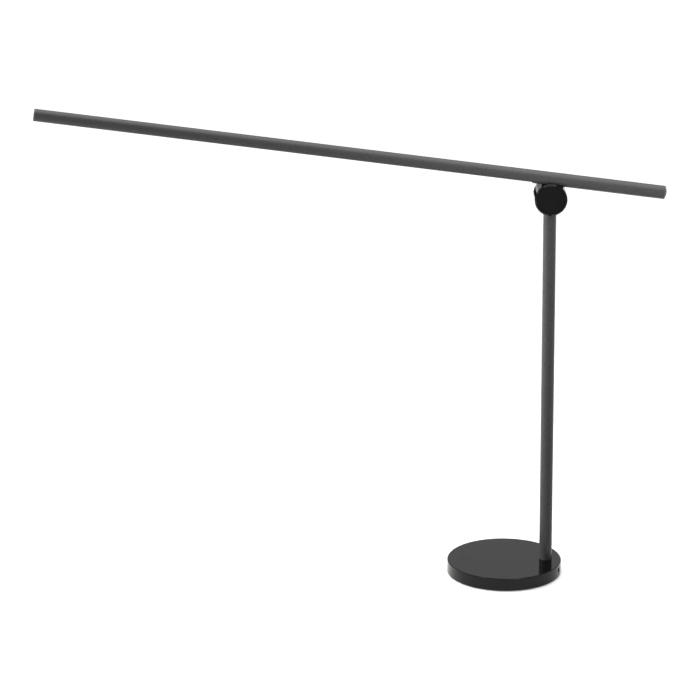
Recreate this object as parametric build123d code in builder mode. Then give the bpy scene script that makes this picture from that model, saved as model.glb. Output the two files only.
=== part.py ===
from build123d import *
from math import cos, radians, sin, tan
import os

# Balance desk lamp: a long light bar that tilts on a hub at the top of a stem, and the
# stem stands near the edge of a heavy round base. Millimetres, +Z up. The origin is the
# centre of the base's underside, on the desk. +X runs from the base towards the stem and
# the short, weighted end of the bar, and -Y is the side that the bar is mounted on.

os.makedirs("parts", exist_ok=True)

# Base
base_diameter = 161.0
base_top = 19.1
base_rim_lift = 1.0
base_bevel = 0.8
base_lower_bevel = 0.5
pad_diameter = 145.0
pad_thickness = 1.2
plate_diameter = 148.0
plate_thickness = 1.5
plate_screw_circle = 132.0
plate_screw_count = 4
plate_screw_length = 8.0

# Electronics in the base
pocket_length = 94.0
pocket_width = 44.0
pocket_centre = -17.0
pocket_corner = 4.0
pocket_top = 11.7
board_length = 74.0
board_width = 38.0
board_centre = -15.0
board_bottom = 4.4
board_thickness = 1.6
board_screw_span = (64.0, 30.0)
button_position = -54.0
button_diameter = 13.8
button_seat = 15.6
button_post_diameter = 9.6
wire_channel_top = 8.0

# Power inlet
inlet_turn = -19.0
inlet_height = 11.0
inlet_bore = 7.0
bezel_diameter = 9.6
bezel_length = 3.9
jack_length = 8.2
jack_width = 10.0
jack_height = 10.0
jack_wire_channel = 6.0
jack_pin_diameter = 2.0
jack_pin_setback = 0.6

# Stem
stem_offset = 58.5
stem_diameter = 18.0
stem_wall = 1.5
stem_seat = 16.6
nipple_diameter = 10.0
nipple_bore = 7.0
nipple_bottom = 6.8
nipple_top = 32.0
nut_height = 4.0
nut_flats = 14.0
washer_diameter = 18.0
washer_thickness = 1.2
plug_top = 38.0

# Hub
hub_height = 551.4
hub_diameter = 44.9
hub_bevel = 2.0
hub_rear_bevel = 0.6
head_front = -2.2
head_rear = 10.4
disc_front = -28.4
disc_rear = -2.6
cover_diameter = 37.9
cover_recess = 2.8
rear_cover_recess = 1.2
cover_bevel = 0.5
cover_boss = 12.0
cover_boss_top = 10.4
cover_boss_height = 0.4
head_cavity = 15.5
head_web_rear = 1.0
socket_top = -19.2
spigot_length = 28.0
lead_passage_diameter = 4.8
lead_passage_depth = 2.0
head_clearance = 0.5
set_screw_drop = 34.0
set_screw_length = 3.6

# Pivot
shaft_diameter = 10.0
shaft_bore = 5.0
shaft_end = 5.65
bolt_head_diameter = 16.0
bolt_head_height = 4.0
disc_floor = -8.0
friction_recess = 0.6
small_washer = 0.5
friction_outer = 14.0
pivot_nut_flats = 15.0
stop_radius = 17.0
stop_pin_diameter = 3.0
stop_pin_angle = 50.0
stop_margin = 6.5
tilt_up = 82.5
tilt_down = 52.5

# Bar
arm_diameter = 18.5
arm_wall = 1.2
arm_long = 712.5
arm_short = 156.3
arm_rise = 26.43
arm_depth = -12.2
arm_tilt = 7.5
flat_depth = 6.33
flat_end = -28.0
cap_flange = 2.2
short_cap_rim = 1.2
short_cap_dome = 2.6
cap_plug = 10.0
saddle_length = 30.0
saddle_depth = 12.0
saddle_floor = 14.5
saddle_top = 20.0
saddle_screw_span = 18.0
saddle_screw_length = 10.5
nut_bar_length = 36.0
nut_bar_height = 4.8
carrier_thickness = 3.5
carrier_bottom = -1.2
strip_width = 10.0
strip_thickness = 1.0
led_count = 60
led_size = (3.5, 2.8, 0.7)
weight_start = 22.0
weight_end = 141.5
weight_diameter = 15.9
weight_screw_position = 84.0

# Leads and small fits
lead_diameter = 1.8
lead_height = 5.2
lead_depth = -15.0
lead_hole = 3.2
slip = 0.05
m3_radius = 1.5
m3_clearance = 1.6
m4_radius = 2.0

base_radius = base_diameter / 2
plate_top = pad_thickness + plate_thickness
stem_radius = stem_diameter / 2
stem_bore = stem_radius - stem_wall
hub_radius = hub_diameter / 2
arm_radius = arm_diameter / 2
arm_bore = arm_radius - arm_wall
shaft_radius = shaft_diameter / 2
tube_start = -(arm_long - cap_flange)
tube_end = arm_short - short_cap_rim - short_cap_dome
strip_start = tube_start + cap_plug
strip_end = flat_end - 4
plug_seat = nipple_bottom + nut_height + washer_thickness + 0.2

pivot = Vector(stem_offset, 0, hub_height)
along = Vector(cos(radians(arm_tilt)), 0, -sin(radians(arm_tilt)))
upward = Vector(sin(radians(arm_tilt)), 0, cos(radians(arm_tilt)))


def arm_point(x, y, z):
    """A point given along the bar, in depth, and square to the bar, from the pivot."""
    return pivot + along * x + Vector(0, y, 0) + upward * z


def section_at(x):
    """Plane across the bar, centred on its axis: first axis +Y, second axis upward."""
    return Plane(origin=arm_point(x, arm_depth, arm_rise), x_dir=(0, 1, 0), z_dir=along)


def above_pivot(x, y, z):
    """Plane square to the hub's radius, facing the bar: first axis along the bar."""
    return Plane(origin=arm_point(x, y, z), x_dir=along, z_dir=upward)


def disc_face(y):
    """Plane across the pivot axis that tilts with the bar, facing the front."""
    return Plane(origin=arm_point(0, y, 0), x_dir=along, z_dir=(0, -1, 0))


def head_face(y):
    """Plane across the pivot axis that stands with the stem, facing the front."""
    return Plane(origin=(stem_offset, y, hub_height), x_dir=(1, 0, 0), z_dir=(0, -1, 0))


def polar_point(radius, angle):
    """Point on a hub plane, at an angle from upright towards +X."""
    return (radius * sin(radians(angle)), radius * cos(radians(angle)))


def lead_path_radii(points, tightest):
    """Fillet radii for a lead's corners: as large as the shorter run allows, up to a limit."""
    radii = []
    for before, here, after in zip(points, points[1:], points[2:]):
        run_in = Vector(*here) - Vector(*before)
        run_out = Vector(*after) - Vector(*here)
        turn = run_in.get_angle(run_out)
        room = 0.45 * min(run_in.length, run_out.length) / tan(radians(turn / 2))
        radii.append(min(room, tightest if turn > 45 else 20.0))
    return radii


def flat_head_screw(head_radius, head_height, shank_radius, length, key_flats):
    """Countersunk screw, head down on the XY plane, with a hexagon socket."""
    with BuildPart() as screw:
        with BuildSketch(Plane.XY):
            Circle(head_radius)
        with BuildSketch(Plane.XY.offset(head_height)):
            Circle(shank_radius)
        loft()
        with BuildSketch(Plane.XY.offset(head_height)):
            Circle(shank_radius)
        extrude(amount=length - head_height)
        with BuildSketch(Plane.XY):
            RegularPolygon(key_flats / 2, 6, major_radius=False)
        extrude(amount=head_height * 0.7, mode=Mode.SUBTRACT)
    return screw.part


def cap_screw(head_radius, head_height, shank_radius, length, key_flats):
    """Socket cap screw: head below the XY plane, shank above it."""
    with BuildPart() as screw:
        with BuildSketch(Plane.XY.offset(-head_height)):
            Circle(head_radius)
        extrude(amount=head_height)
        with BuildSketch(Plane.XY):
            Circle(shank_radius)
        extrude(amount=length)
        with BuildSketch(Plane.XY.offset(-head_height)):
            RegularPolygon(key_flats / 2, 6, major_radius=False)
        extrude(amount=head_height * 0.6, mode=Mode.SUBTRACT)
    return screw.part


def set_screw(radius, length, key_flats):
    """Headless screw standing on the XY plane, with its socket in the lower end."""
    with BuildPart() as screw:
        with BuildSketch(Plane.XY):
            Circle(radius)
        extrude(amount=length)
        with BuildSketch(Plane.XY):
            RegularPolygon(key_flats / 2, 6, major_radius=False)
        extrude(amount=length * 0.4, mode=Mode.SUBTRACT)
    return screw.part


def save(piece, name):
    """Label a finished piece and write it as its own file."""
    piece.part.label = name
    export_step(piece.part, f"parts/{name}.step")


# --- Underside: rubber pad, steel cover plate and its screws ---

with BuildPart() as foot_pad:
    with BuildSketch(Plane.XY):
        Circle(pad_diameter / 2)
    extrude(amount=pad_thickness)
    chamfer(foot_pad.edges().group_by(Axis.Z)[0], 0.3)
save(foot_pad, "foot_pad")

under_plate = Plane.XY.offset(pad_thickness)
screw_head_radius = 3.0

with BuildPart() as bottom_plate:
    with BuildSketch(under_plate):
        Circle(plate_diameter / 2)
    extrude(amount=plate_thickness)
    with Locations(under_plate):
        with PolarLocations(plate_screw_circle / 2, plate_screw_count, start_angle=45):
            Cone(
                screw_head_radius + slip,
                m3_radius + slip,
                plate_thickness,
                align=(Align.CENTER, Align.CENTER, Align.MIN),
                mode=Mode.SUBTRACT,
            )
save(bottom_plate, "bottom_plate")

plate_screw = flat_head_screw(screw_head_radius, plate_thickness, m3_radius, plate_screw_length, 2.0)

with BuildPart() as plate_screws:
    with Locations(under_plate):
        with PolarLocations(plate_screw_circle / 2, plate_screw_count, start_angle=45):
            add(plate_screw)
save(plate_screws, "plate_screws")

# --- Base: heavy steel disc, hollowed from below for the electronics ---

jack_outer = base_radius - 0.2 - bezel_length
jack_inner = jack_outer - jack_length
inlet_outward = Vector(cos(radians(inlet_turn)), sin(radians(inlet_turn)), 0)
inlet_across = Vector(-sin(radians(inlet_turn)), cos(radians(inlet_turn)), 0)
inlet_floor = Plane(origin=(0, 0, plate_top), x_dir=inlet_outward, z_dir=(0, 0, 1))
inlet_centre = Vector(0, 0, inlet_height)
inlet_axis = Axis(inlet_centre, inlet_outward)
inlet_mouth = Plane(inlet_centre + inlet_outward * jack_outer, inlet_across, inlet_outward)

with BuildPart() as base_weight:
    with BuildSketch(Plane.XY.offset(base_rim_lift)):
        Circle(base_radius)
    extrude(amount=base_top - base_rim_lift)
    chamfer(base_weight.edges().group_by(Axis.Z)[-1], base_bevel)
    chamfer(base_weight.edges().group_by(Axis.Z)[0], base_lower_bevel)
    with BuildSketch(Plane.XY.offset(base_rim_lift)):
        Circle(plate_diameter / 2 + 0.3)
    extrude(amount=plate_top - base_rim_lift, mode=Mode.SUBTRACT)
    # pocket for the board, with four posts left standing in it
    with BuildSketch(Plane.XY.offset(plate_top)):
        with Locations((pocket_centre, 0)):
            RectangleRounded(pocket_length, pocket_width, pocket_corner)
    extrude(amount=pocket_top - plate_top, mode=Mode.SUBTRACT)
    with BuildSketch(Plane.XY.offset(board_bottom + board_thickness)):
        with Locations((board_centre, 0)):
            with GridLocations(board_screw_span[0], board_screw_span[1], 2, 2):
                Circle(3.0)
    extrude(amount=pocket_top - board_bottom - board_thickness)
    with BuildSketch(Plane.XY.offset(board_bottom)):
        with Locations((board_centre, 0)):
            with GridLocations(board_screw_span[0], board_screw_span[1], 2, 2):
                Circle(1.25)
    extrude(amount=7.0, mode=Mode.SUBTRACT)
    # channel for the lead, and the room round the stem's nut
    with BuildSketch(Plane.XY.offset(plate_top)):
        with Locations(((pocket_centre + pocket_length / 2 + stem_offset) / 2, 0)):
            Rectangle(stem_offset - pocket_centre - pocket_length / 2 + 4, 12.0)
    extrude(amount=wire_channel_top - plate_top, mode=Mode.SUBTRACT)
    with BuildSketch(Plane.XY.offset(plate_top)):
        with Locations((stem_offset, 0)):
            Circle(washer_diameter / 2 + 0.5)
    extrude(amount=plug_seat - plate_top, mode=Mode.SUBTRACT)
    # seat of the stem in the top face, and the nipple's hole
    with BuildSketch(Plane.XY.offset(stem_seat)):
        with Locations((stem_offset, 0)):
            Circle(stem_radius + slip)
    extrude(amount=base_top - stem_seat, mode=Mode.SUBTRACT)
    with BuildSketch(Plane.XY.offset(plug_seat)):
        with Locations((stem_offset, 0)):
            Circle(nipple_diameter / 2 + slip)
    extrude(amount=base_top - plug_seat, mode=Mode.SUBTRACT)
    # stepped hole of the touch button
    with BuildSketch(Plane.XY.offset(button_seat)):
        with Locations((button_position, 0)):
            Circle(button_diameter / 2 + slip)
    extrude(amount=base_top - button_seat, mode=Mode.SUBTRACT)
    with BuildSketch(Plane.XY.offset(pocket_top)):
        with Locations((button_position, 0)):
            Circle(button_post_diameter / 2 + slip)
    extrude(amount=base_top - pocket_top, mode=Mode.SUBTRACT)
    # pocket of the power jack, the channel for its wires and the hole for its bezel
    with BuildSketch(inlet_floor):
        with Locations(((jack_inner + jack_outer) / 2, 0)):
            Rectangle(jack_length + 0.4, jack_width + 0.4)
    extrude(amount=inlet_height + jack_height / 2 + 0.2 - plate_top, mode=Mode.SUBTRACT)
    with BuildSketch(inlet_floor):
        with Locations((pocket_centre + pocket_length / 2, 0)):
            Rectangle(
                jack_inner - pocket_centre - pocket_length / 2,
                jack_wire_channel,
                align=(Align.MIN, Align.CENTER),
            )
    extrude(amount=wire_channel_top - plate_top, mode=Mode.SUBTRACT)
    with BuildSketch(inlet_mouth):
        Circle(bezel_diameter / 2 + slip)
    extrude(amount=bezel_length + 2, mode=Mode.SUBTRACT)
    # blind holes of the cover plate's screws
    with BuildSketch(Plane.XY.offset(plate_top)):
        with PolarLocations(plate_screw_circle / 2, plate_screw_count, start_angle=45):
            Circle(m3_radius + slip)
    extrude(amount=plate_screw_length, mode=Mode.SUBTRACT)
save(base_weight, "base_weight")

# --- Electronics: board, its parts and screws, touch button and electrode ---

with BuildPart() as control_board:
    with BuildSketch(Plane.XY.offset(board_bottom)):
        with Locations((board_centre, 0)):
            RectangleRounded(board_length, board_width, 2.0)
            with GridLocations(board_screw_span[0], board_screw_span[1], 2, 2):
                Circle(1.35, mode=Mode.SUBTRACT)
    extrude(amount=board_thickness)
save(control_board, "control_board")

board_top = board_bottom + board_thickness
component_sizes = [
    (-4.0, 0.0, 12.0, 12.0, 4.6),
    (11.0, 8.0, 5.0, 6.0, 1.5),
    (11.0, -7.0, 8.0, 8.0, 5.0),
    (-20.0, 6.0, 6.0, 5.0, 1.5),
    (-24.0, -8.0, 10.0, 7.0, 3.2),
    (-36.0, -8.0, 4.0, 3.0, 1.0),
]

with BuildPart() as board_components:
    for x, y, length, width, height in component_sizes:
        with BuildSketch(Plane.XY.offset(board_top)):
            with Locations((x, y)):
                Rectangle(length, width)
        extrude(amount=height)
save(board_components, "board_components")

board_screw = cap_screw(2.2, 1.4, 1.2, 6.8, 1.5)

with BuildPart() as board_screws:
    with Locations(Plane(origin=(board_centre, 0, board_bottom))):
        with GridLocations(board_screw_span[0], board_screw_span[1], 2, 2):
            add(board_screw)
save(board_screws, "board_screws")

with BuildPart() as touch_button:
    with BuildSketch(Plane.XY.offset(button_seat)):
        with Locations((button_position, 0)):
            Circle(button_diameter / 2)
    extrude(amount=base_top - button_seat)
    chamfer(touch_button.edges().group_by(Axis.Z)[-1], 0.3)
    with BuildSketch(Plane.XY.offset(pocket_top + 0.4)):
        with Locations((button_position, 0)):
            Circle(button_post_diameter / 2)
    extrude(amount=button_seat - pocket_top - 0.4)
save(touch_button, "touch_button")

with BuildPart() as touch_electrode:
    with BuildSketch(Plane.XY.offset(pocket_top)):
        with Locations((button_position, 0)):
            Circle(4.5)
    extrude(amount=0.4)
    with BuildSketch(Plane.XY.offset(board_top)):
        with Locations((button_position + 4.0, 0)):
            Rectangle(0.8, 3.0)
    extrude(amount=pocket_top - board_top)
save(touch_electrode, "touch_electrode")

# --- Power inlet: bezel ring in the wall, jack and its centre pin ---

jack_back_wall = 1.2

with BuildPart() as inlet_bezel:
    with BuildSketch(inlet_mouth):
        Circle(bezel_diameter / 2)
        Circle(inlet_bore / 2, mode=Mode.SUBTRACT)
    extrude(amount=bezel_length)
    bezel_face = inlet_bezel.faces().sort_by(inlet_axis)[-1]
    chamfer(bezel_face.edges().sort_by(SortBy.LENGTH)[0], 0.4)
save(inlet_bezel, "inlet_bezel")

with BuildPart() as power_jack:
    with BuildSketch(inlet_mouth):
        Rectangle(jack_width, jack_height)
    extrude(amount=-jack_length)
    with BuildSketch(inlet_mouth):
        Circle(inlet_bore / 2)
        Circle(jack_pin_diameter / 2, mode=Mode.SUBTRACT)
    extrude(amount=-(jack_length - jack_back_wall), mode=Mode.SUBTRACT)
    with BuildSketch(inlet_mouth):
        Circle(jack_pin_diameter / 2)
    extrude(amount=-(jack_length - jack_back_wall), mode=Mode.SUBTRACT)
save(power_jack, "power_jack")

with BuildPart() as jack_pin:
    with BuildSketch(inlet_mouth.offset(-(jack_length - jack_back_wall))):
        Circle(jack_pin_diameter / 2)
    extrude(amount=jack_length - jack_back_wall - jack_pin_setback)
    fillet(jack_pin.faces().sort_by(inlet_axis)[-1].edges(), 0.6)
save(jack_pin, "jack_pin")

# --- Stem fixing: threaded nipple through the base, washer and nut below it ---

with BuildPart() as stem_washer:
    with BuildSketch(Plane.XY.offset(plug_seat - washer_thickness)):
        with Locations((stem_offset, 0)):
            Circle(washer_diameter / 2)
            Circle(nipple_diameter / 2 + slip, mode=Mode.SUBTRACT)
    extrude(amount=washer_thickness)
save(stem_washer, "stem_washer")

with BuildPart() as stem_nut:
    with BuildSketch(Plane.XY.offset(plug_seat - washer_thickness - nut_height)):
        with Locations((stem_offset, 0)):
            RegularPolygon(nut_flats / 2, 6, major_radius=False)
            Circle(nipple_diameter / 2 + slip, mode=Mode.SUBTRACT)
    extrude(amount=nut_height)
save(stem_nut, "stem_nut")

with BuildPart() as stem_nipple:
    with BuildSketch(Plane.XY.offset(nipple_bottom)):
        with Locations((stem_offset, 0)):
            Circle(nipple_diameter / 2)
            Circle(nipple_bore / 2, mode=Mode.SUBTRACT)
    extrude(amount=nipple_top - nipple_bottom)
save(stem_nipple, "stem_nipple")

with BuildPart() as stem_plug:
    with BuildSketch(Plane.XY.offset(stem_seat)):
        with Locations((stem_offset, 0)):
            Circle(stem_bore - slip)
            Circle(nipple_diameter / 2 + slip, mode=Mode.SUBTRACT)
    extrude(amount=plug_top - stem_seat)
save(stem_plug, "stem_plug")

# --- Stem: straight tube from the base's seat into the hub ---

screw_level = hub_height - set_screw_drop
rear_of_stem = Plane(origin=(stem_offset, stem_radius - 0.2, screw_level), x_dir=(1, 0, 0), z_dir=(0, -1, 0))

with BuildPart() as stem_tube:
    with BuildSketch(Plane.XY.offset(stem_seat)):
        with Locations((stem_offset, 0)):
            Circle(stem_radius)
            Circle(stem_bore, mode=Mode.SUBTRACT)
    extrude(amount=hub_height + socket_top - slip - stem_seat)
    with BuildSketch(rear_of_stem.offset(-2)):
        Circle(m4_radius + slip)
    extrude(amount=stem_radius, mode=Mode.SUBTRACT)
    # the front of the tube ends just below the turning disc
    with BuildSketch(head_face(head_front)):
        Circle(hub_radius + head_clearance)
    extrude(amount=stem_diameter, mode=Mode.SUBTRACT)
save(stem_tube, "stem_tube")

# --- Stem head: drum on top of the stem, with a spigot that goes down into it ---

with BuildPart() as stem_head:
    with BuildSketch(head_face(head_rear)):
        Circle(hub_radius)
    extrude(amount=head_rear - head_front)
    chamfer(stem_head.edges().group_by(Axis.Y)[-1], hub_rear_bevel)
    with BuildSketch(Plane.XY.offset(hub_height + socket_top)):
        with Locations((stem_offset, 0)):
            Circle(stem_radius + slip)
    extrude(amount=-hub_radius, mode=Mode.SUBTRACT)
    with BuildSketch(Plane.XY.offset(hub_height + socket_top)):
        with Locations((stem_offset, 0)):
            Circle(stem_bore - slip)
    extrude(amount=-spigot_length)
    with BuildSketch(head_face(head_front)):
        Circle(hub_radius + head_clearance)
    extrude(amount=stem_diameter, mode=Mode.SUBTRACT)
    # rear recess for the cover, the cavity, and the web that carries the pivot
    with BuildSketch(head_face(head_rear)):
        Circle(cover_diameter / 2 + slip)
    extrude(amount=rear_cover_recess, mode=Mode.SUBTRACT)
    with BuildSketch(head_face(head_rear)):
        Circle(head_cavity)
    extrude(amount=head_rear - head_web_rear, mode=Mode.SUBTRACT)
    with BuildSketch(head_face(head_rear)):
        Circle(shaft_radius + slip)
    extrude(amount=head_rear - head_front, mode=Mode.SUBTRACT)
    with BuildSketch(head_face(head_front + friction_recess)):
        Circle(friction_outer + 0.2)
    extrude(amount=friction_recess, mode=Mode.SUBTRACT)
    # passage of the lead down the spigot
    with BuildSketch(Plane.XY.offset(hub_height + socket_top - spigot_length)):
        with Locations((stem_offset, lead_passage_depth)):
            Circle(lead_passage_diameter / 2)
    extrude(amount=spigot_length - socket_top - head_cavity + 4.0, mode=Mode.SUBTRACT)
    # arc groove in which the stop pin runs
    with BuildSketch(head_face(head_front + 2.8)):
        with BuildLine():
            CenterArc(
                (0, 0),
                stop_radius,
                90 - stop_pin_angle - tilt_up - stop_margin,
                tilt_up + tilt_down + 2 * stop_margin,
            )
        trace(line_width=stop_pin_diameter + 0.4)
    extrude(amount=2.8, mode=Mode.SUBTRACT)
    with BuildSketch(rear_of_stem):
        Circle(m4_radius + slip)
    extrude(amount=stem_radius, mode=Mode.SUBTRACT)
save(stem_head, "stem_head")

head_screw = set_screw(m4_radius, set_screw_length, 2.0)

with BuildPart() as head_set_screw:
    with Locations(rear_of_stem):
        add(head_screw)
save(head_set_screw, "head_set_screw")

with BuildPart() as rear_cover:
    with BuildSketch(head_face(head_rear)):
        Circle(cover_diameter / 2)
    extrude(amount=rear_cover_recess)
    chamfer(rear_cover.edges().group_by(Axis.Y)[-1], cover_bevel)
    with BuildSketch(head_face(head_rear)):
        with Locations((0, -cover_diameter / 2)):
            Rectangle(5.0, 1.6)
    extrude(amount=rear_cover_recess / 2, mode=Mode.SUBTRACT)
save(rear_cover, "rear_cover")

# --- Pivot: hollow bolt, friction and spring washers, locknut, stop pin ---

with BuildPart() as friction_washers:
    with BuildSketch(head_face(head_front + friction_recess)):
        Circle(friction_outer)
        Circle(shaft_radius + 0.4, mode=Mode.SUBTRACT)
    extrude(amount=head_front + friction_recess - disc_rear - slip)
    with BuildSketch(head_face(head_web_rear)):
        Circle(10.0)
        Circle(shaft_radius + 0.4, mode=Mode.SUBTRACT)
    extrude(amount=-small_washer)
save(friction_washers, "friction_washers")

with BuildPart() as pivot_bolt:
    with BuildSketch(disc_face(disc_floor)):
        Circle(bolt_head_diameter / 2)
    extrude(amount=bolt_head_height)
    chamfer(pivot_bolt.edges().group_by(Axis.Y)[0], 0.6)
    with BuildSketch(disc_face(shaft_end)):
        Circle(shaft_radius)
    extrude(amount=shaft_end - disc_floor)
    with BuildSketch(disc_face(shaft_end)):
        Circle(shaft_bore / 2)
    extrude(amount=shaft_end - disc_floor + bolt_head_height, mode=Mode.SUBTRACT)
    with BuildSketch(disc_face(disc_floor - bolt_head_height)):
        Rectangle(bolt_head_diameter, 3.0)
    extrude(amount=-1.4, mode=Mode.SUBTRACT)
save(pivot_bolt, "pivot_bolt")

spring_inner = shaft_radius + 0.2
spring_outer = 9.5
spring_sheet = 0.45
spring_rise = 0.2
spring_face = head_web_rear + small_washer + slip
hub_section = Plane(origin=pivot, x_dir=(0, 0, 1), z_dir=(-1, 0, 0))

with BuildPart() as spring_washers:
    with BuildSketch(hub_section):
        with BuildLine():
            Polyline(
                (spring_outer, spring_face),
                (spring_outer, spring_face + spring_sheet),
                (spring_inner, spring_face + spring_sheet + spring_rise),
                (spring_inner, spring_face + spring_rise),
                close=True,
            )
        make_face()
    revolve(axis=Axis(pivot, (0, 1, 0)))
    with BuildSketch(hub_section):
        with BuildLine():
            Polyline(
                (spring_outer, spring_face + 2 * spring_sheet + 2 * spring_rise),
                (spring_outer, spring_face + spring_sheet + 2 * spring_rise),
                (spring_inner, spring_face + spring_sheet + spring_rise),
                (spring_inner, spring_face + 2 * spring_sheet + spring_rise),
                close=True,
            )
        make_face()
    revolve(axis=Axis(pivot, (0, 1, 0)))
save(spring_washers, "spring_washers")

nut_face = spring_face + 2 * spring_sheet + 2 * spring_rise

with BuildPart() as pivot_nut:
    with BuildSketch(disc_face(shaft_end - 0.4)):
        RegularPolygon(pivot_nut_flats / 2, 6, major_radius=False)
        Circle(shaft_radius + 0.02, mode=Mode.SUBTRACT)
    extrude(amount=shaft_end - 0.4 - nut_face)
save(pivot_nut, "pivot_nut")

pin_place = polar_point(stop_radius, stop_pin_angle - arm_tilt)

with BuildPart() as stop_pin:
    with BuildSketch(disc_face(head_front + 2.2)):
        with Locations(pin_place):
            Circle(stop_pin_diameter / 2)
    extrude(amount=head_front + 2.2 - disc_floor - 0.5)
save(stop_pin, "stop_pin")

# --- Arm disc: the front half of the hub, which tilts and carries the bar ---

lead_offset = lead_depth - arm_depth
screw_seat = 12.5

with BuildPart() as arm_disc:
    with BuildSketch(disc_face(disc_rear)):
        Circle(hub_radius)
    extrude(amount=disc_rear - disc_front)
    chamfer(arm_disc.edges().group_by(Axis.Y)[0], hub_bevel)
    with BuildSketch(disc_face(disc_front + cover_recess)):
        Circle(cover_diameter / 2 + slip)
    extrude(amount=cover_recess, mode=Mode.SUBTRACT)
    # cavity for the bolt's head and the saddle screws
    with BuildSketch(disc_face(disc_floor)):
        Circle(11.0)
        Rectangle(25.0, screw_seat, align=(Align.CENTER, Align.MIN))
    extrude(amount=disc_floor - disc_front, mode=Mode.SUBTRACT)
    with BuildSketch(disc_face(disc_rear)):
        Circle(shaft_radius + slip)
    extrude(amount=disc_rear - disc_floor, mode=Mode.SUBTRACT)
    # pocket of the saddle and the groove in which the bar lies
    with BuildSketch(above_pivot(0, arm_depth, saddle_floor)):
        Rectangle(saddle_length + 2 * slip, saddle_depth + 2 * slip)
    extrude(amount=hub_radius, mode=Mode.SUBTRACT)
    with BuildSketch(section_at(-hub_radius)):
        Circle(arm_radius + slip)
    extrude(amount=hub_diameter, mode=Mode.SUBTRACT)
    # holes up through the rim for two screws and the lead
    with BuildSketch(above_pivot(0, arm_depth, screw_seat - 1)):
        with GridLocations(saddle_screw_span, 1, 2, 1):
            Circle(m3_clearance)
        with Locations((0, lead_offset)):
            Circle(lead_hole / 2)
    extrude(amount=6.0, mode=Mode.SUBTRACT)
    with BuildSketch(disc_face(disc_rear)):
        with Locations(pin_place):
            Circle(stop_pin_diameter / 2 + 0.02)
    extrude(amount=disc_rear - disc_floor, mode=Mode.SUBTRACT)
save(arm_disc, "arm_disc")

with BuildPart() as front_cover:
    with BuildSketch(disc_face(disc_front + cover_recess)):
        Circle(cover_diameter / 2)
    extrude(amount=cover_recess)
    chamfer(front_cover.edges().group_by(Axis.Y)[0], cover_bevel)
    with BuildSketch(disc_face(disc_front)):
        Circle(cover_boss / 2)
    with BuildSketch(disc_face(disc_front - cover_boss_height)):
        Circle(cover_boss_top / 2)
    loft()
save(front_cover, "front_cover")

# --- Saddle: block between the disc and the bar, with the screws and their nut bar ---

with BuildPart() as arm_saddle:
    with BuildSketch(above_pivot(0, arm_depth, saddle_floor)):
        Rectangle(saddle_length, saddle_depth)
    extrude(amount=saddle_top - saddle_floor)
    chamfer(arm_saddle.edges().filter_by(Axis(pivot, upward)), 0.4)
    with BuildSketch(section_at(-hub_radius)):
        Circle(arm_radius)
    extrude(amount=hub_diameter, mode=Mode.SUBTRACT)
    with BuildSketch(above_pivot(0, arm_depth, saddle_floor)):
        with GridLocations(saddle_screw_span, 1, 2, 1):
            Circle(m3_clearance)
        with Locations((0, lead_offset)):
            Circle(lead_hole / 2)
    extrude(amount=hub_radius, mode=Mode.SUBTRACT)
save(arm_saddle, "arm_saddle")

saddle_screw = cap_screw(2.75, 3.0, m3_radius, saddle_screw_length, 2.5)

with BuildPart() as saddle_screws:
    with Locations(above_pivot(0, arm_depth, screw_seat)):
        with GridLocations(saddle_screw_span, 1, 2, 1):
            add(saddle_screw)
save(saddle_screws, "saddle_screws")

bar_radius = arm_bore - slip

with BuildPart() as nut_bar:
    with BuildSketch(section_at(-nut_bar_length / 2)):
        Circle(bar_radius)
        with Locations((0, -bar_radius)):
            Rectangle(arm_diameter, 2 * nut_bar_height, mode=Mode.INTERSECT)
    extrude(amount=nut_bar_length)
    with BuildSketch(above_pivot(0, arm_depth, arm_rise - arm_radius)):
        with GridLocations(saddle_screw_span, 1, 2, 1):
            Circle(m3_radius + 0.02)
        with Locations((0, lead_offset)):
            Circle(lead_hole / 2)
    extrude(amount=arm_radius, mode=Mode.SUBTRACT)
save(nut_bar, "nut_bar")

# --- Bar: one tube, milled flat underneath along its lit part ---

with BuildPart() as arm_tube:
    with BuildSketch(section_at(tube_start)):
        Circle(arm_radius)
        Circle(arm_bore, mode=Mode.SUBTRACT)
    extrude(amount=tube_end - tube_start)
    with BuildSketch(section_at(tube_start)):
        with Locations((0, -flat_depth)):
            Rectangle(arm_diameter, arm_radius, align=(Align.CENTER, Align.MAX))
    extrude(amount=flat_end - tube_start, mode=Mode.SUBTRACT)
    with BuildSketch(above_pivot(0, arm_depth, arm_rise - arm_radius - 1)):
        with GridLocations(saddle_screw_span, 1, 2, 1):
            Circle(m3_clearance)
        with Locations((0, lead_offset)):
            Circle(lead_hole / 2)
    extrude(amount=arm_radius, mode=Mode.SUBTRACT)
    with BuildSketch(above_pivot(weight_screw_position, arm_depth, arm_rise - arm_radius - 1)):
        Circle(m4_radius + slip)
    extrude(amount=arm_radius, mode=Mode.SUBTRACT)
save(arm_tube, "arm_tube")

# --- Light: aluminium carrier, LED strip, LEDs and opal diffuser ---

with BuildPart() as led_carrier:
    with BuildSketch(section_at(strip_start)):
        Circle(bar_radius)
        with Locations((0, carrier_bottom)):
            Rectangle(
                arm_diameter,
                carrier_thickness,
                align=(Align.CENTER, Align.MIN),
                mode=Mode.INTERSECT,
            )
    extrude(amount=strip_end - strip_start)
save(led_carrier, "led_carrier")

with BuildPart() as led_strip:
    with BuildSketch(section_at(strip_start)):
        with Locations((0, carrier_bottom)):
            Rectangle(strip_width, strip_thickness, align=(Align.CENTER, Align.MAX))
    extrude(amount=strip_end - strip_start)
save(led_strip, "led_strip")

led_spacing = (strip_end - strip_start) / led_count
led_top = arm_rise + carrier_bottom - strip_thickness

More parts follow.
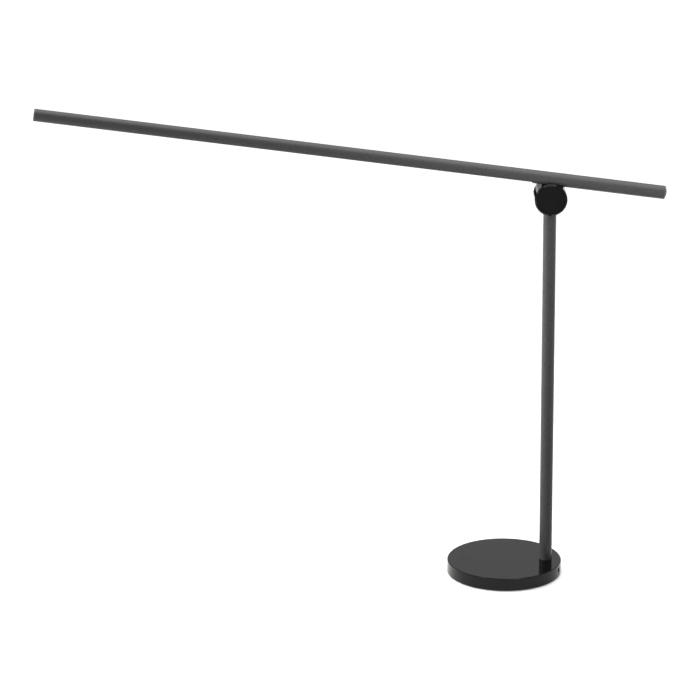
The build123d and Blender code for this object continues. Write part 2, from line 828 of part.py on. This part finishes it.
with BuildPart() as led_chips:
    with BuildSketch(above_pivot((strip_start + strip_end) / 2, arm_depth, led_top)):
        with GridLocations(led_spacing, 1, led_count, 1):
            Rectangle(led_size[0], led_size[1])
    extrude(amount=-led_size[2])
save(led_chips, "led_chips")

diffuser_face = 9.8
diffuser_flange = 11.6
diffuser_step = -5.5
diffuser_top = -4.6

with BuildPart() as diffuser:
    with BuildSketch(section_at(tube_start)):
        with Locations((0, diffuser_step)):
            Rectangle(diffuser_face, flat_depth + diffuser_step, align=(Align.CENTER, Align.MAX))
            Rectangle(
                diffuser_flange,
                diffuser_top - diffuser_step,
                align=(Align.CENTER, Align.MIN),
            )
    extrude(amount=flat_end - tube_start - 0.3)
save(diffuser, "diffuser")

# --- Ends of the bar: two caps, and the weight in the short end ---

with BuildPart() as long_end_cap:
    with BuildSketch(section_at(-arm_long)):
        Circle(arm_radius)
        with Locations((0, -flat_depth)):
            Rectangle(arm_diameter, arm_radius, align=(Align.CENTER, Align.MAX), mode=Mode.SUBTRACT)
    extrude(amount=cap_flange)
    chamfer(long_end_cap.faces().sort_by(Axis.X)[0].edges(), 0.4)
    with BuildSketch(section_at(tube_start)):
        Circle(bar_radius)
        with Locations((0, diffuser_top)):
            Rectangle(arm_diameter, arm_radius, align=(Align.CENTER, Align.MAX), mode=Mode.SUBTRACT)
    extrude(amount=cap_plug - 0.8)
save(long_end_cap, "long_end_cap")

# the short end's cap has a shallow domed face, a part of a sphere over the tube's full width
dome_radius = (arm_radius**2 + short_cap_dome**2) / (2 * short_cap_dome)

with BuildPart() as short_end_cap:
    with BuildSketch(section_at(arm_short)):
        Circle(arm_radius)
    extrude(amount=-short_cap_rim - short_cap_dome)
    with Locations(section_at(arm_short - dome_radius)):
        Sphere(dome_radius, mode=Mode.INTERSECT)
    dome_face = short_end_cap.faces().sort_by(Axis.X)[-1]
    fillet(dome_face.edges().sort_by(SortBy.LENGTH)[-1], 0.4)
    with BuildSketch(section_at(tube_end)):
        Circle(bar_radius)
    extrude(amount=-cap_plug)
save(short_end_cap, "short_end_cap")

weight_screw_depth = 1.0

with BuildPart() as counterweight:
    with BuildSketch(section_at(weight_start)):
        Circle(weight_diameter / 2)
    extrude(amount=weight_end - weight_start)
    chamfer(counterweight.edges().filter_by(GeomType.CIRCLE), 0.6)
    weight_bottom = arm_rise - weight_diameter / 2
    with BuildSketch(above_pivot(weight_screw_position, arm_depth, weight_bottom - 1)):
        Circle(m4_radius + slip)
    extrude(amount=1 + weight_screw_depth, mode=Mode.SUBTRACT)
save(counterweight, "counterweight")

weight_screw_start = arm_rise - arm_radius + 0.1
weight_screw = set_screw(m4_radius, weight_bottom + weight_screw_depth - weight_screw_start, 2.0)

with BuildPart() as weight_set_screw:
    with Locations(above_pivot(weight_screw_position, arm_depth, weight_screw_start)):
        add(weight_screw)
save(weight_set_screw, "weight_set_screw")

# --- Leads: from the board up the stem to the pivot, and from the pivot into the bar ---

board_edge = board_centre + board_length / 2
stem_lead_points = [
    (board_edge, 0, lead_height),
    (stem_offset, 0, lead_height),
    (stem_offset, 0, hub_height - 70.0),
    (stem_offset, lead_passage_depth, hub_height - 55.0),
    (stem_offset, lead_passage_depth, hub_height - 14.5),
    (stem_offset, 8.0, hub_height - 9.6),
    (stem_offset, 8.0, hub_height),
    (stem_offset, shaft_end + 0.1, hub_height),
]
tight_bend = 2.4

with BuildPart() as stem_lead:
    with BuildLine() as stem_lead_path:
        FilletPolyline(*stem_lead_points, radius=lead_path_radii(stem_lead_points, tight_bend))
    with BuildSketch(Plane(origin=stem_lead_points[0], z_dir=(1, 0, 0))):
        Circle(lead_diameter / 2)
    sweep()
save(stem_lead, "stem_lead")

arm_lead_points = [
    tuple(arm_point(0, shaft_end, 0)),
    tuple(arm_point(0, lead_depth, 0)),
    tuple(arm_point(0, lead_depth, arm_rise + 1.5)),
    tuple(arm_point(-16.0, lead_depth, arm_rise + 1.5)),
    tuple(arm_point(-25.0, arm_depth, arm_rise + carrier_bottom - strip_thickness / 2)),
    tuple(arm_point(strip_end, arm_depth, arm_rise + carrier_bottom - strip_thickness / 2)),
]

with BuildPart() as arm_lead:
    with BuildLine() as arm_lead_path:
        FilletPolyline(*arm_lead_points, radius=lead_path_radii(arm_lead_points, tight_bend))
    with BuildSketch(Plane(origin=arm_lead_points[0], z_dir=(0, -1, 0))):
        Circle(lead_diameter / 2)
    sweep()
save(arm_lead, "arm_lead")
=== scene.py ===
from math import cos, radians, sin

import bpy
from mathutils import Matrix, Vector

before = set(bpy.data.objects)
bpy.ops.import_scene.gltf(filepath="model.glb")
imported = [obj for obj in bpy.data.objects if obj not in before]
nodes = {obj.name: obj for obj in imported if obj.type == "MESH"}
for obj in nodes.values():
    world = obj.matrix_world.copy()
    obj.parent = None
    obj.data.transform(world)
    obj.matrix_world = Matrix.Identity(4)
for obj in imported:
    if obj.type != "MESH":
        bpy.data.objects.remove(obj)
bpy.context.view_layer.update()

scene = bpy.context.scene

# --- Camera: the photograph's angle of view ---
# A long lens five metres away, a little above the lamp, looking down on its base.
# Its place comes from a fit to the outlines of the bar, stem, hub and base.

photo_side = 700
focal_pixels = 3600
view_elevation = radians(17.75)
view_yaw = radians(-0.11)
view_roll = radians(-0.27)
view_distance = 5.002
view_target = Vector((-0.2167, 0.0, 0.3299))
sight_limit = 60
sensor_width = 36

level_right = Vector((cos(view_yaw), sin(view_yaw), 0))
towards_camera = Vector((
    sin(view_yaw) * cos(view_elevation),
    -cos(view_yaw) * cos(view_elevation),
    sin(view_elevation),
))
level_up = towards_camera.cross(level_right)
camera_right = cos(view_roll) * level_right + sin(view_roll) * level_up
camera_up = cos(view_roll) * level_up - sin(view_roll) * level_right

lens = bpy.data.cameras.new("photo_lens")
lens.sensor_width = sensor_width
lens.lens = focal_pixels / photo_side * sensor_width
lens.clip_end = sight_limit
camera = bpy.data.objects.new("photo_camera", lens)
camera.matrix_world = Matrix((
    (camera_right.x, camera_up.x, towards_camera.x, 0),
    (camera_right.y, camera_up.y, towards_camera.y, 0),
    (camera_right.z, camera_up.z, towards_camera.z, 0),
    (0, 0, 0, 1),
))
camera.location = view_target + view_distance * towards_camera
scene.collection.objects.link(camera)
scene.camera = camera
scene.view_settings.view_transform = "Standard"

# --- Table: a wide sheet of white laminate that runs far back ---
# Matt pressed laminate. Seen directly or in a polished surface it reads white, more so further
# out, and it keeps the soft shadow under the lamp. It throws back less light than it shows.


def linear(code):
    """Linear red, green, blue and alpha of an sRGB hex colour, by the sRGB transfer curve."""
    channels = [int(code[i:i + 2], 16) / 255 for i in (0, 2, 4)]
    return [c / 12.92 if c <= 0.04045 else ((c + 0.055) / 1.055) ** 2.4 for c in channels] + [1.0]


def node(tree, kind, sockets=None, **settings):
    """Add a node with its settings. Each socket takes a value or another node's output."""
    made = tree.nodes.new(kind)
    for key, value in settings.items():
        setattr(made, key, value)
    for key, value in (sockets or {}).items():
        if isinstance(value, bpy.types.NodeSocket):
            tree.links.new(value, made.inputs[key])
        else:
            made.inputs[key].default_value = value
    return made


def open_material(name):
    """A new material with an empty node tree."""
    material = bpy.data.materials.new(name)
    material.use_nodes = True
    material.node_tree.nodes.clear()
    return material, material.node_tree


def seen_directly(tree):
    """Factor that is 1 for a camera ray and for what a glossy or clear surface shows."""
    path = node(tree, "ShaderNodeLightPath")
    direct = node(tree, "ShaderNodeMath", {
        0: path.outputs["Is Camera Ray"],
        1: path.outputs["Is Glossy Ray"],
    }, operation="MAXIMUM")
    shown = node(tree, "ShaderNodeMath", {
        0: direct.outputs[0],
        1: path.outputs["Is Transmission Ray"],
    }, operation="MAXIMUM")
    return shown.outputs[0]


def flat_sheet(name, corners, material):
    """A four-sided sheet through its corners, added to the scene."""
    mesh = bpy.data.meshes.new(name)
    mesh.from_pydata(corners, [], [(0, 1, 2, 3)])
    mesh.materials.append(material)
    sheet = bpy.data.objects.new(name, mesh)
    scene.collection.objects.link(sheet)
    return sheet


table_half = 30.0
table_drop = -0.0004
glow_near, glow_far = 0.28, 1.0
near_radius, far_radius = 0.4, 3.6

laminate, tree = open_material("white_pressed_laminate")
face = node(tree, "ShaderNodeBsdfDiffuse", {"Color": linear("e6e6e4")})
place = node(tree, "ShaderNodeTexCoord")
reach = node(tree, "ShaderNodeVectorMath", {0: place.outputs["Object"]}, operation="LENGTH")
whiter = node(tree, "ShaderNodeMapRange", {
    "Value": reach.outputs["Value"],
    "From Min": near_radius,
    "From Max": far_radius,
    "To Min": glow_near,
    "To Max": glow_far,
})
glow = node(tree, "ShaderNodeEmission", {
    "Color": linear("ffffff"),
    "Strength": whiter.outputs["Result"],
})
lit_face = node(tree, "ShaderNodeAddShader", {0: face.outputs[0], 1: glow.outputs[0]})
bounce = node(tree, "ShaderNodeBsdfDiffuse", {"Color": linear("303030")})
mixed = node(tree, "ShaderNodeMixShader", {
    0: seen_directly(tree),
    1: bounce.outputs[0],
    2: lit_face.outputs[0],
})
# From below the sheet is clear, so that the lamp's underside can be seen.
facing = node(tree, "ShaderNodeNewGeometry")
clear = node(tree, "ShaderNodeBsdfTransparent")
one_sided = node(tree, "ShaderNodeMixShader", {
    0: facing.outputs["Backfacing"],
    1: mixed.outputs[0],
    2: clear.outputs[0],
})
node(tree, "ShaderNodeOutputMaterial", {"Surface": one_sided.outputs[0]})

flat_sheet("white_table", [
    (-table_half, -table_half, table_drop),
    (table_half, -table_half, table_drop),
    (table_half, table_half, table_drop),
    (-table_half, table_half, table_drop),
], laminate)

# --- Studio light: a soft box above, boxes in front and at both sides, a grey room ---
# The upper box lights the tops of the bar and base. The fill stands close to the hub, so the
# far end of the bar and the foot of the stem are darker. The side box shades the stem from the
# left, and the rim box shows in the hub's bevel as a pale crescent.


def soft_lamp(name, place, aim, width, height, watts, in_gloss=True):
    """A soft box at a place, turned towards a point. in_gloss lets polished surfaces show it."""
    light = bpy.data.lights.new(name, "AREA")
    light.shape = "RECTANGLE"
    light.size = width
    light.size_y = height
    light.energy = watts
    lamp = bpy.data.objects.new(name, light)
    lamp.location = place
    lamp.rotation_euler = (Vector(aim) - Vector(place)).to_track_quat("-Z", "Y").to_euler()
    lamp.visible_glossy = in_gloss
    scene.collection.objects.link(lamp)


soft_lamp("overhead_box", place=(-0.15, 0.35, 2.6), aim=(-0.2, 0, 0.4),
          width=2.6, height=2.6, watts=66)
soft_lamp("front_box", place=(0.55, -0.9, 2.1), aim=(0.15, 0, 0.5),
          width=0.9, height=0.9, watts=4)
soft_lamp("fill_box", place=(0.15, -0.46, 0.76), aim=(0.04, 0, 0.68),
          width=0.5, height=0.5, watts=3.5, in_gloss=False)
soft_lamp("side_box", place=(-1.7, -0.14, 0.62), aim=(0, 0, 0.5),
          width=0.8, height=1.1, watts=50, in_gloss=False)
soft_lamp("rim_box", place=(-1.9, -0.62, 0.85), aim=(0, 0, 0.5),
          width=0.5, height=1.3, watts=6)
soft_lamp("edge_box", place=(1.3, -0.4, 0.8), aim=(0, 0, 0.5),
          width=0.5, height=0.5, watts=4, in_gloss=False)

world = bpy.data.worlds.new("grey_room")
scene.world = world
world.use_nodes = True
tree = world.node_tree
tree.nodes.clear()
walls_lit = node(tree, "ShaderNodeBackground", {"Color": linear("404040"), "Strength": 1.0})
walls_seen = node(tree, "ShaderNodeBackground", {"Color": linear("d7d7d7"), "Strength": 1.0})
room = node(tree, "ShaderNodeMixShader", {
    0: seen_directly(tree),
    1: walls_lit.outputs[0],
    2: walls_seen.outputs[0],
})
node(tree, "ShaderNodeOutputWorld", {"Surface": room.outputs[0]})

# A low black card stands out of view behind the lamp. The polished side of the hub shows it
# as one dark streak.
card_left, card_right, card_back, card_top = -0.8, 0.0, 2.2, 0.3
card_black, tree = open_material("black_felt_card")
felt = node(tree, "ShaderNodeBsdfDiffuse", {"Color": linear("0a0a0a")})
node(tree, "ShaderNodeOutputMaterial", {"Surface": felt.outputs[0]})
card = flat_sheet("black_card", [
    (card_left, card_back, 0),
    (card_right, card_back, 0),
    (card_right, card_back, card_top),
    (card_left, card_back, card_top),
], card_black)
card.visible_camera = False
card.visible_diffuse = False
card.visible_shadow = False

# --- Underside: rubber pad, steel cover plate and its screws ---
# The pad is die-cut from moulded rubber sheet and glued to a pressed steel plate, which four
# countersunk screws hold. The screws are black-oxide steel.

millimetre = 0.001
patch_detail, grain_detail = 3.0, 2.0
noise_low, noise_high = 0.3, 0.7


def surface(name, light_side, dark_side, patch, grain, height, roughness, stretch=(1, 1, 1),
            turn=(0, 0, 0), strength=0.3, **shader_sockets):
    """A material with colour patches, and a finer grain in roughness and height.

    patch, grain and height are millimetres: width of a colour patch, width of a grain, and
    height of a grain. roughness is its lowest and highest value. stretch divides the pattern
    along each axis after the turn, so that (1, 1, 8) draws it out eight times along Z.
    """
    material, tree = open_material(name)
    place = node(tree, "ShaderNodeTexCoord")
    turned = node(tree, "ShaderNodeMapping", {
        "Vector": place.outputs["Object"],
        "Rotation": turn,
    })
    drawn = node(tree, "ShaderNodeVectorMath", {
        0: turned.outputs["Vector"],
        1: [1 / length for length in stretch],
    }, operation="MULTIPLY")
    patches = node(tree, "ShaderNodeTexNoise", {
        "Vector": drawn.outputs["Vector"],
        "Scale": 1 / (patch * millimetre),
        "Detail": patch_detail,
    })
    colour = node(tree, "ShaderNodeMix", {
        0: patches.outputs["Fac"],
        6: linear(dark_side),
        7: linear(light_side),
    }, data_type="RGBA")
    grains = node(tree, "ShaderNodeTexNoise", {
        "Vector": drawn.outputs["Vector"],
        "Scale": 1 / (grain * millimetre),
        "Detail": grain_detail,
    })
    uneven = node(tree, "ShaderNodeMapRange", {
        "Value": grains.outputs["Fac"],
        "From Min": noise_low,
        "From Max": noise_high,
        "To Min": roughness[0],
        "To Max": roughness[1],
    })
    relief = node(tree, "ShaderNodeBump", {
        "Height": grains.outputs["Fac"],
        "Distance": height * millimetre,
        "Strength": strength,
    })
    shader = node(tree, "ShaderNodeBsdfPrincipled", {
        "Base Color": colour.outputs[2],
        "Roughness": uneven.outputs["Result"],
        "Normal": relief.outputs["Normal"],
        **shader_sockets,
    })
    node(tree, "ShaderNodeOutputMaterial", {"Surface": shader.outputs[0]})
    return material


def dress(material, *names):
    """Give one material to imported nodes."""
    for name in names:
        nodes[name].data.materials[0] = material


# Moulded rubber: dull black with a fine pebble from the mould. Its 0.3 mm pebble is drawn at
# 1 mm, the least that shows.
rubber = surface("moulded_rubber_sheet", "222222", "171717", patch=14, grain=1.0, height=0.06,
                 roughness=(0.72, 0.88), IOR=1.5)
dress(rubber, "foot_pad")

# Powder-coated steel plate: satin black with a soft orange peel of 2 mm.
plate_coat = surface("black_powder_coat", "1e1e1e", "161616", patch=20, grain=2.0, height=0.03,
                     roughness=(0.42, 0.55), IOR=1.45)
dress(plate_coat, "bottom_plate")

# Black-oxide steel: almost black metal with a brownish cloudiness and an oily sheen.
black_oxide = surface("black_oxide_steel", "3a3734", "211f1e", patch=2.5, grain=0.5, height=0.01,
                      roughness=(0.38, 0.55), Metallic=1.0)
dress(black_oxide, "plate_screws", "head_set_screw", "saddle_screws", "weight_set_screw")

# --- Base: heavy steel disc in gloss black lacquer ---
# Turned from steel plate, sprayed and baked. The lacquer is deep black and mirror-like, with
# the faint orange peel of a sprayed coat. The 1.5 mm peel is drawn at 5 mm, so that it shows.

# The IOR of this and the other black finishes is lower than a lacquer's 1.5, to match how weakly
# the lamp shines in the photograph.
base_lacquer = surface("baked_black_lacquer", "0b0b0b", "070707", patch=30, grain=5.0,
                       height=0.004, roughness=(0.03, 0.07), IOR=1.285)
dress(base_lacquer, "base_weight")

# --- Electronics: board, parts, screws, touch button and electrode ---
# A glass-epoxy board with green solder mask carries moulded parts, on four zinc-plated screws.
# The touch button is a moulded disc, polished like the lacquer round it.

# Green solder mask: satin green over copper tracks, which show as paler lines in a grid.
track_pitch, track_gap = 2.54, 0.25
cell_length = 4 * track_pitch
weave_width, weave_height, weave_strength = 0.6, 0.02, 0.3
mask_roughness = 0.35
board_mask, tree = open_material("green_solder_mask")
place = node(tree, "ShaderNodeTexCoord")
tracks = node(tree, "ShaderNodeTexBrick", {
    "Vector": place.outputs["Object"],
    "Color1": linear("0e3d22"),
    "Color2": linear("124a2a"),
    "Mortar": linear("2c6b3f"),
    "Scale": 1.0,
    "Mortar Size": track_gap * millimetre,
    "Brick Width": cell_length * millimetre,
    "Row Height": track_pitch * millimetre,
})
glass_weave = node(tree, "ShaderNodeTexNoise", {
    "Vector": place.outputs["Object"],
    "Scale": 1 / (weave_width * millimetre),
})
relief = node(tree, "ShaderNodeBump", {
    "Height": glass_weave.outputs["Fac"],
    "Distance": weave_height * millimetre,
    "Strength": weave_strength,
})
shader = node(tree, "ShaderNodeBsdfPrincipled", {
    "Base Color": tracks.outputs["Color"],
    "Roughness": mask_roughness,
    "Normal": relief.outputs["Normal"],
})
node(tree, "ShaderNodeOutputMaterial", {"Surface": shader.outputs[0]})
dress(board_mask, "control_board")

# Moulded epoxy: matt black with a fine spark-eroded texture.
epoxy = surface("moulded_epoxy", "1b1b1c", "121213", patch=3, grain=0.4, height=0.02,
                roughness=(0.55, 0.7), IOR=1.5)
dress(epoxy, "board_components")

# Zinc-plated steel: pale blue-grey metal, brightened and slightly cloudy.
zinc = surface("zinc_plated_steel", "b4b8bb", "94989b", patch=4, grain=0.6, height=0.008,
               roughness=(0.25, 0.42), Metallic=1.0)
dress(zinc, "board_screws", "stem_washer", "stem_nut", "stem_nipple", "pivot_bolt",
      "spring_washers", "pivot_nut", "stop_pin", "nut_bar")

# Polished moulded plastic: deep black, a little duller than the lacquer, so that the button
# shows as a faint round spot.
button_gloss = surface("polished_black_plastic", "0e0e0e", "090909", patch=6, grain=3.0,
                       height=0.003, roughness=(0.10, 0.16), IOR=1.27)
dress(button_gloss, "touch_button")

# Nickel-plated brass: warm pale metal with fine drawing marks.
nickel = surface("nickel_plated_brass", "c9c2ae", "a89f88", patch=2, grain=0.4, height=0.006,
                 roughness=(0.2, 0.35), stretch=(6, 1, 1), Metallic=1.0)
dress(nickel, "touch_electrode", "jack_pin")

# --- Power inlet: bezel ring in the wall, and the jack behind it ---
# Both are injection-moulded nylon, black and slightly shiny. The ring is pressed into the wall,
# and the jack sits in the base behind it.

nylon = surface("moulded_black_nylon", "161616", "0f0f0f", patch=4, grain=0.5, height=0.015,
                roughness=(0.35, 0.5), IOR=1.5)
dress(nylon, "inlet_bezel", "power_jack")

# --- Stem: straight tube on a threaded nipple, with an aluminium plug in its foot ---
# Drawn aluminium tube, powder-coated a satin graphite grey. The coat gives an even, softly
# shining surface with a fine grain. Its 0.3 mm grain is drawn at 1.6 mm, so that it shows, and
# a little longer along the tube, as the drawn metal under it is.

# Turned aluminium: pale metal with the rings of the lathe.
turned_aluminium = surface("turned_aluminium", "c2c3c5", "a6a7a9", patch=3, grain=0.5,
                           height=0.01, roughness=(0.3, 0.45), stretch=(5, 5, 1), Metallic=1.0)
dress(turned_aluminium, "stem_plug")

graphite_light, graphite_dark = "3f3f3f", "383838"
coat_settings = dict(patch=26, grain=1.6, height=0.02, roughness=(0.26, 0.34), IOR=1.32)
stem_coat = surface("satin_graphite_coat_stem", graphite_light, graphite_dark,
                    stretch=(1, 1, 3), **coat_settings)
dress(stem_coat, "stem_tube")

# --- Hub: the drum on the stem, the disc that turns with the bar, and their covers ---
# Turned aluminium in the same black lacquer as the base, with moulded covers pressed into both
# faces. The hub's copy of the lacquer has painted shade: its colour is a shade darker than the
# base's, and its IOR lower, so that the hub reads darker.

# Painted shade: these colours are darker than the base lacquer's, though it is the same lacquer.
hub_lacquer_painted_darker = surface("black_hub_lacquer", "080808", "050505", patch=12, grain=3.0,
                      height=0.002, roughness=(0.04, 0.08), IOR=1.23)
dress(hub_lacquer_painted_darker, "stem_head", "arm_disc", "arm_saddle")

cover_gloss = surface("black_cover_plastic", "0a0a0a", "060606", patch=8, grain=2.5,
                      height=0.003, roughness=(0.10, 0.16), IOR=1.21)
dress(cover_gloss, "front_cover", "rear_cover")

# Acetal: slippery off-white plastic with faint turning marks.
acetal = surface("turned_acetal", "dcdad2", "cbc9c1", patch=3, grain=0.5, height=0.01,
                 roughness=(0.4, 0.5), IOR=1.48)
dress(acetal, "friction_washers")

# --- Bar: one long tube with its light, end caps and weight ---
# The same drawn tube and graphite coat as the stem, milled flat underneath along its lit part.
# The carrier with the LED strip, the opal strip and the weight are inside, between the end caps.

bar_tilt = radians(7.5)
bar_turn = (0, -bar_tilt, 0)
bar_coat = surface("satin_graphite_coat_bar", graphite_light, graphite_dark,
                   stretch=(3, 1, 1), turn=bar_turn, **coat_settings)
dress(bar_coat, "arm_tube")

# Moulded ABS: dark grey end caps with a fine matt texture from the mould.
abs_grain = surface("moulded_grey_abs", "454545", "3c3c3c", patch=5, grain=0.9, height=0.02,
                    roughness=(0.45, 0.58), IOR=1.5)
dress(abs_grain, "long_end_cap", "short_end_cap")

# Bright-drawn steel: the weight's bar, with drawing lines along it.
drawn_steel = surface("bright_drawn_steel", "a9abad", "8b8d8f", patch=3, grain=0.5, height=0.01,
                      roughness=(0.28, 0.42), stretch=(10, 1, 1), turn=bar_turn, Metallic=1.0)
dress(drawn_steel, "counterweight")

# Extruded aluminium: the carrier, with die lines along it.
extruded = surface("extruded_aluminium", "c6c7c9", "adaeb0", patch=3, grain=0.4, height=0.012,
                   roughness=(0.32, 0.45), stretch=(20, 1, 1), turn=bar_turn, Metallic=1.0)
dress(extruded, "led_carrier")

# White solder mask on the flexible strip: bright satin white with a faint print texture.
strip_white = surface("white_solder_mask", "ecebe6", "dddcd6", patch=3, grain=0.6, height=0.01,
                      roughness=(0.35, 0.45), IOR=1.5)
dress(strip_white, "led_strip")

# LEDs: yellow silicone with phosphor, slightly cloudy.
phosphor = surface("phosphor_silicone", "eed66a", "e2c552", patch=1.5, grain=0.5, height=0.01,
                   roughness=(0.2, 0.32), IOR=1.42)
dress(phosphor, "led_chips")

# Opal acrylic: milky white, extruded, with a soft shine and light that goes a little way in.
opal = surface("opal_acrylic", "efeeea", "e6e5e0", patch=12, grain=0.8, height=0.008,
               roughness=(0.32, 0.42), stretch=(12, 1, 1), turn=bar_turn, IOR=1.49)
dress(opal, "diffuser")

# --- Leads: from the board up the stem to the pivot, and on into the bar ---
# Stranded copper in extruded PVC, black and faintly waxy. One goes from the board up inside the
# stem, and the other from the hollow pivot bolt to the LED strip.

pvc = surface("extruded_black_pvc", "1a1a1a", "121212", patch=5, grain=0.7, height=0.01,
              roughness=(0.4, 0.52), IOR=1.5)
dress(pvc, "stem_lead", "arm_lead")
